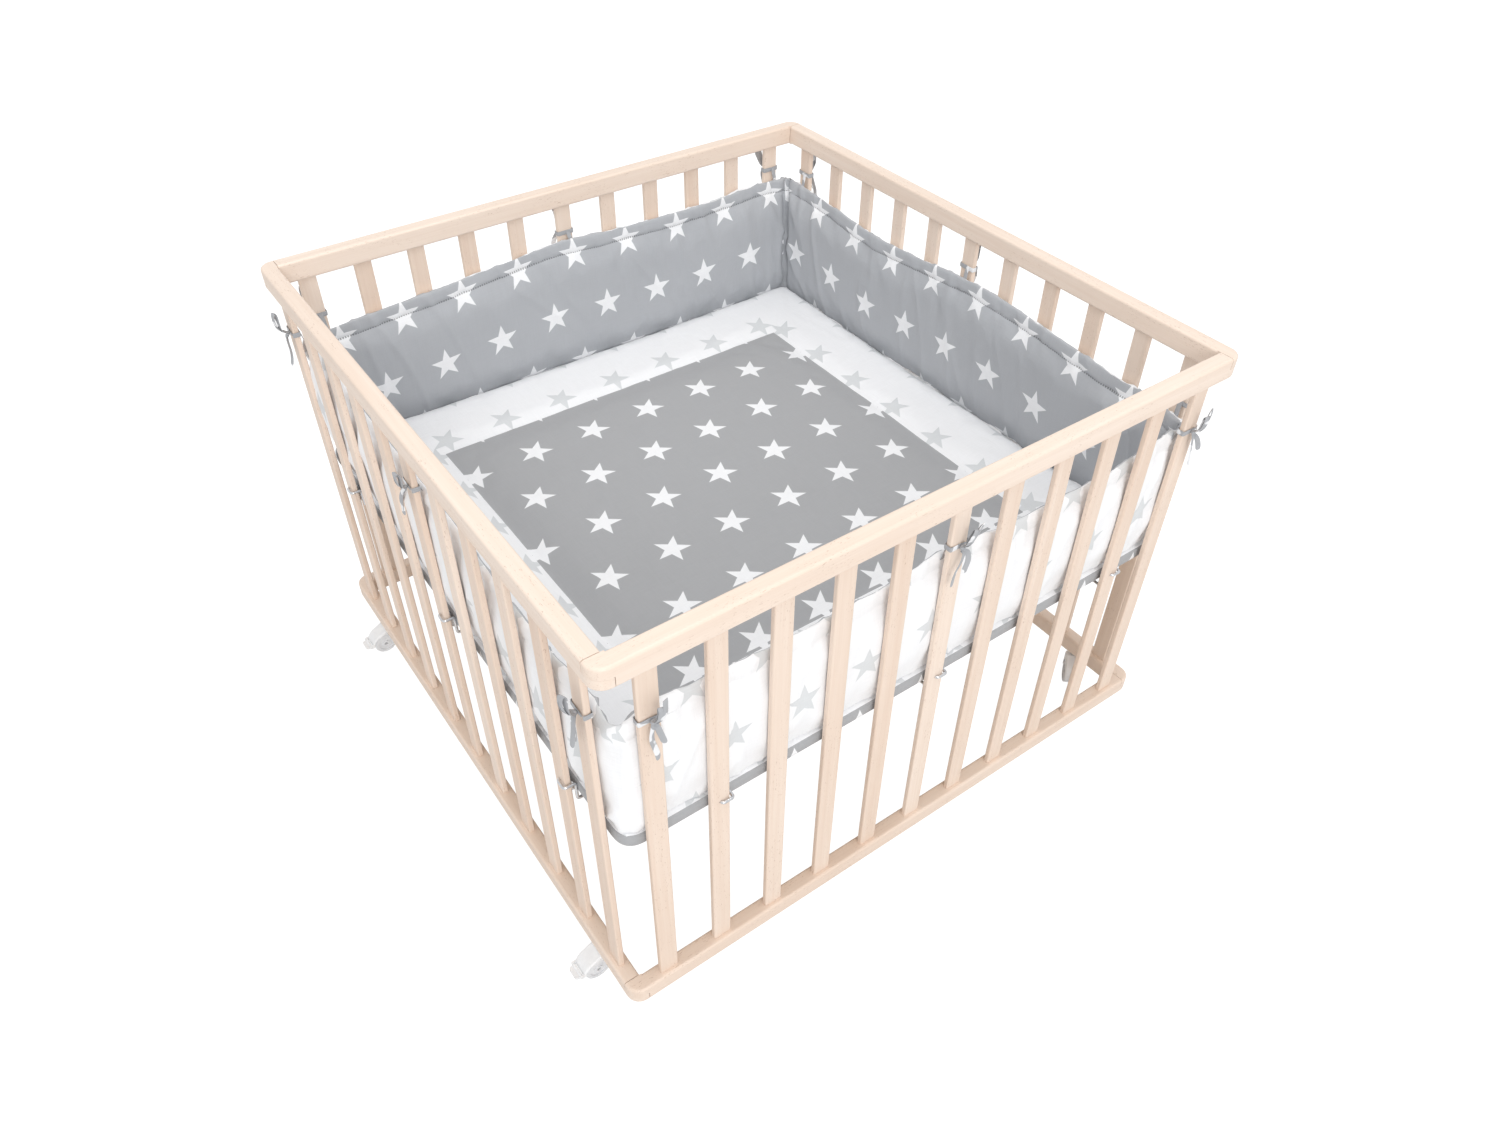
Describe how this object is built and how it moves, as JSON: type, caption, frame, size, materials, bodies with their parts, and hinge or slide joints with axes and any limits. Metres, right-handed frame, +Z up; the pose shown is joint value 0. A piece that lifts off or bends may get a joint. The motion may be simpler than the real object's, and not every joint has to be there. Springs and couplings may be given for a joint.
{
  "type": "playpen",
  "caption": "Square slatted wooden playpen on twin-wheel casters, with a padded star-print floor mat and tied bumpers on a raised base.",
  "frame": {"origin": "on the floor, under the middle of the pen", "axes": "+X along the front panel to the right, +Y from the front panel to the back panel, +Z up"},
  "size_m": [1.0878, 1.02, 0.74],
  "materials": {
    "wood": "light beech, clear satin varnish",
    "batten_wood": "planed softwood",
    "board": "pale plywood, satin",
    "hook_wire": "zinc-plated wire",
    "bolt_steel": "zinc-plated",
    "insert_brass": "plain",
    "socket_steel": "zinc-plated",
    "stem_steel": "zinc-plated",
    "hood_plastic": "white, semi-gloss",
    "wheel_plastic": "white, semi-gloss",
    "mat_fabric": "woven cotton, grey and white with stars",
    "bumper_fabric": "woven cotton, grey inside and white outside, with stars",
    "ribbon": "grey-blue woven ribbon"
  },
  "bodies": {
    "frame": {"front_top_rail": "wood", "front_bottom_rail": "wood", "front_plain_slats": "wood", "front_hook_slats": "wood", "front_support_hooks": "hook_wire", "right_top_rail": "wood", "right_bottom_rail": "wood", "right_plain_slats": "wood", "right_hook_slats": "wood", "right_support_hooks": "hook_wire", "back_top_rail": "wood", "back_bottom_rail": "wood", "back_plain_slats": "wood", "back_hook_slats": "wood", "back_support_hooks": "hook_wire", "left_top_rail": "wood", "left_bottom_rail": "wood", "left_plain_slats": "wood", "left_hook_slats": "wood", "left_support_hooks": "hook_wire", "top_corner_bolts": "bolt_steel", "bottom_corner_bolts": "bolt_steel", "corner_insert_nuts": "insert_brass", "caster_sockets": "socket_steel"},
    "base": {"left_base_board": "board", "right_base_board": "board", "base_battens": "batten_wood", "base_screws": "bolt_steel", "mat": "mat_fabric", "front_bumper": "bumper_fabric", "right_bumper": "bumper_fabric", "back_bumper": "bumper_fabric", "left_bumper": "bumper_fabric", "front_ties": "ribbon", "right_ties": "ribbon", "back_ties": "ribbon", "left_ties": "ribbon"},
    "front_left_caster": {"front_left_caster_stem": "stem_steel", "front_left_caster_hood": "hood_plastic", "front_left_caster_axle": "stem_steel"},
    "front_left_wheel_a": {"front_left_caster_wheel_a": "wheel_plastic"},
    "front_left_wheel_b": {"front_left_caster_wheel_b": "wheel_plastic"},
    "front_left_pedal": {"front_left_brake_pedal": "hood_plastic"},
    "back_left_caster": {"back_left_caster_stem": "stem_steel", "back_left_caster_hood": "hood_plastic", "back_left_caster_axle": "stem_steel"},
    "back_left_wheel_a": {"back_left_caster_wheel_a": "wheel_plastic"},
    "back_left_wheel_b": {"back_left_caster_wheel_b": "wheel_plastic"},
    "back_left_pedal": {"back_left_brake_pedal": "hood_plastic"},
    "front_right_caster": {"front_right_caster_stem": "stem_steel", "front_right_caster_hood": "hood_plastic", "front_right_caster_axle": "stem_steel"},
    "front_right_wheel_a": {"front_right_caster_wheel_a": "wheel_plastic"},
    "front_right_wheel_b": {"front_right_caster_wheel_b": "wheel_plastic"},
    "back_right_caster": {"back_right_caster_stem": "stem_steel", "back_right_caster_hood": "hood_plastic", "back_right_caster_axle": "stem_steel"},
    "back_right_wheel_a": {"back_right_caster_wheel_a": "wheel_plastic"},
    "back_right_wheel_b": {"back_right_caster_wheel_b": "wheel_plastic"}
  },
  "joints": [
    {"name": "base_lift", "type": "slide", "parent": "frame", "child": "base", "axis": [0, 0, 1], "range_m": [0, 0.035]},
    {"name": "front_left_swivel", "type": "hinge", "parent": "frame", "child": "front_left_caster", "pos_m": [-0.498, -0.398, 0.058], "axis": [0, 0, 1], "continuous": true},
    {"name": "front_left_wheel_a_spin", "type": "hinge", "parent": "front_left_caster", "child": "front_left_wheel_a", "pos_m": [-0.514, -0.398, 0.02], "axis": [0, 1, 0], "continuous": true},
    {"name": "front_left_wheel_b_spin", "type": "hinge", "parent": "front_left_caster", "child": "front_left_wheel_b", "pos_m": [-0.514, -0.398, 0.02], "axis": [0, 1, 0], "continuous": true},
    {"name": "front_left_brake", "type": "hinge", "parent": "front_left_caster", "child": "front_left_pedal", "pos_m": [-0.541, -0.398, 0.025], "axis": [0, -1, 0], "range_deg": [0, 12]},
    {"name": "back_left_swivel", "type": "hinge", "parent": "frame", "child": "back_left_caster", "pos_m": [-0.498, 0.398, 0.058], "axis": [0, 0, 1], "continuous": true},
    {"name": "back_left_wheel_a_spin", "type": "hinge", "parent": "back_left_caster", "child": "back_left_wheel_a", "pos_m": [-0.514, 0.398, 0.02], "axis": [0, 1, 0], "continuous": true},
    {"name": "back_left_wheel_b_spin", "type": "hinge", "parent": "back_left_caster", "child": "back_left_wheel_b", "pos_m": [-0.514, 0.398, 0.02], "axis": [0, 1, 0], "continuous": true},
    {"name": "back_left_brake", "type": "hinge", "parent": "back_left_caster", "child": "back_left_pedal", "pos_m": [-0.541, 0.398, 0.025], "axis": [0, -1, 0], "range_deg": [0, 12]},
    {"name": "front_right_swivel", "type": "hinge", "parent": "frame", "child": "front_right_caster", "pos_m": [0.498, -0.398, 0.058], "axis": [0, 0, 1], "continuous": true},
    {"name": "front_right_wheel_a_spin", "type": "hinge", "parent": "front_right_caster", "child": "front_right_wheel_a", "pos_m": [0.48669, -0.40931, 0.02], "axis": [-0.7071, 0.7071, 0], "continuous": true},
    {"name": "front_right_wheel_b_spin", "type": "hinge", "parent": "front_right_caster", "child": "front_right_wheel_b", "pos_m": [0.48669, -0.40931, 0.02], "axis": [-0.7071, 0.7071, 0], "continuous": true},
    {"name": "back_right_swivel", "type": "hinge", "parent": "frame", "child": "back_right_caster", "pos_m": [0.498, 0.398, 0.058], "axis": [0, 0, 1], "continuous": true},
    {"name": "back_right_wheel_a_spin", "type": "hinge", "parent": "back_right_caster", "child": "back_right_wheel_a", "pos_m": [0.514, 0.398, 0.02], "axis": [0, -1, 0], "continuous": true},
    {"name": "back_right_wheel_b_spin", "type": "hinge", "parent": "back_right_caster", "child": "back_right_wheel_b", "pos_m": [0.514, 0.398, 0.02], "axis": [0, -1, 0], "continuous": true}
  ]
}
